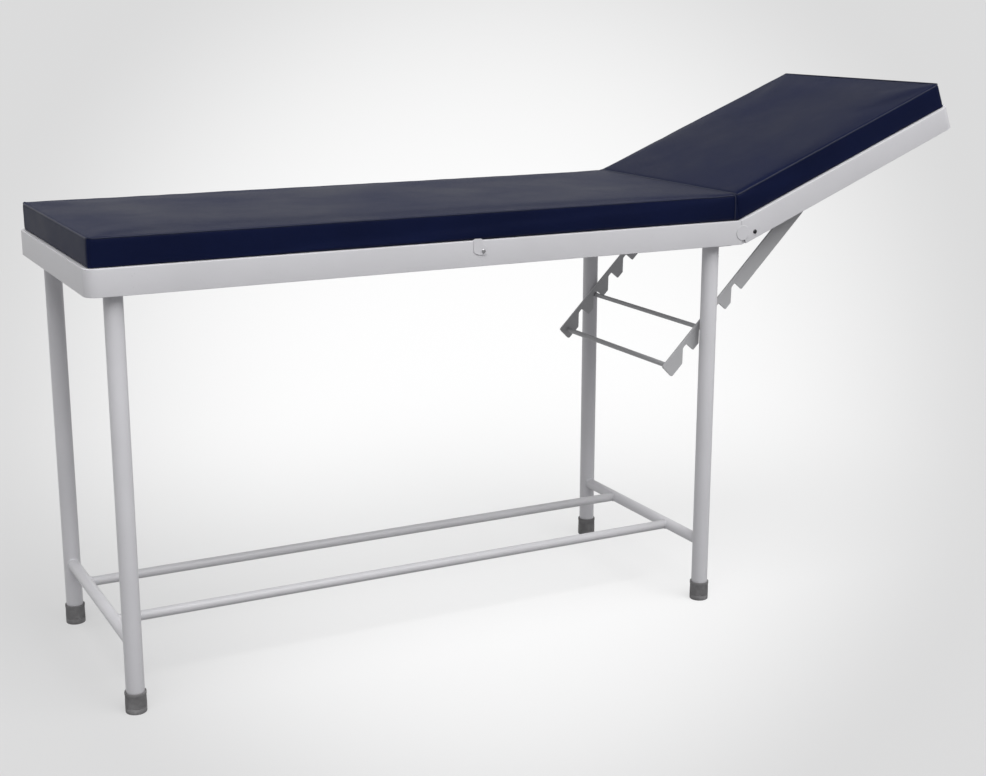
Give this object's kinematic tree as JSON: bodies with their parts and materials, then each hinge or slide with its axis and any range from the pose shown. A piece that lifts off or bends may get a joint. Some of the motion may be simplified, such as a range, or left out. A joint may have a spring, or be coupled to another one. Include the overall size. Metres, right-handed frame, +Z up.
{
  "type": "examination couch",
  "caption": "Two-section examination couch: painted steel frame on tube legs, navy vinyl pads, and a backrest propped by notched ratchet arms.",
  "frame": {"origin": "on the floor, under the middle of the bounding box with the backrest raised as at rest", "axes": "+X along the couch from the foot end to the head end, +Y across it to the far side, +Z up"},
  "size_m": [1.7756, 0.524, 1.0193],
  "materials": {
    "white_paint": "satin",
    "arm_paint": "satin",
    "zinc_steel": "satin",
    "black_steel": "satin",
    "grey_rubber": "matte",
    "deck_sheet": "satin",
    "navy_vinyl": "satin"
  },
  "bodies": {
    "root": {"foot_end_rail": "white_paint", "main_rail_near": "white_paint", "main_rail_far": "white_paint", "deck_crossbar_1": "white_paint", "deck_crossbar_2": "white_paint", "deck_crossbar_3": "white_paint", "hinge_crossbar": "white_paint", "main_deck": "deck_sheet", "leg_foot_near": "white_paint", "leg_foot_far": "white_paint", "leg_head_near": "white_paint", "leg_head_far": "white_paint", "ferrule_foot_near": "grey_rubber", "ferrule_foot_far": "grey_rubber", "ferrule_head_near": "grey_rubber", "ferrule_head_far": "grey_rubber", "foot_cross_tube": "white_paint", "head_cross_tube": "white_paint", "long_bar_near": "white_paint", "long_bar_far": "white_paint", "support_rod": "white_paint", "hinge_lug_near": "white_paint", "hinge_lug_far": "white_paint", "hinge_pin_near": "zinc_steel", "hinge_pin_far": "zinc_steel", "hinge_washer_near": "zinc_steel", "hinge_washer_far": "zinc_steel", "pad_clip_near": "white_paint", "pad_clip_far": "white_paint", "clip_screw_near": "black_steel", "clip_screw_far": "black_steel", "main_pad": "navy_vinyl"},
    "backrest": {"head_end_rail": "white_paint", "backrest_rail_near": "white_paint", "backrest_rail_far": "white_paint", "backrest_hinge_crossbar": "white_paint", "arm_crossbar": "white_paint", "backrest_deck": "deck_sheet", "backrest_lug_near": "white_paint", "backrest_lug_far": "white_paint", "lug_spacer_near": "zinc_steel", "lug_spacer_far": "zinc_steel", "lug_bolt_near": "black_steel", "lug_bolt_far": "black_steel", "arm_lug_near": "white_paint", "arm_lug_far": "white_paint", "arm_washer_near": "zinc_steel", "arm_washer_far": "zinc_steel", "arm_nut_near": "zinc_steel", "arm_nut_far": "zinc_steel", "arm_bolt_near": "zinc_steel", "arm_bolt_far": "zinc_steel", "backrest_pad": "navy_vinyl"},
    "ratchet_arms": {"ratchet_arm_near": "arm_paint", "ratchet_arm_far": "arm_paint", "tie_rod": "arm_paint"}
  },
  "joints": [
    {"name": "backrest_hinge", "type": "hinge", "parent": "root", "child": "backrest", "pos_m": [0.37066, 0, 0.749], "axis": [0, -1, 0], "range_deg": [-22, 0]},
    {"name": "ratchet_swing", "type": "hinge", "parent": "backrest", "child": "ratchet_arms", "pos_m": [0.54232, 0, 0.78061], "axis": [0, -1, 0], "range_deg": [-16.5, 0]}
  ],
  "couplings": [
    {"joint": "ratchet_swing", "follows": "backrest_hinge", "ratio": 0.75}
  ]
}
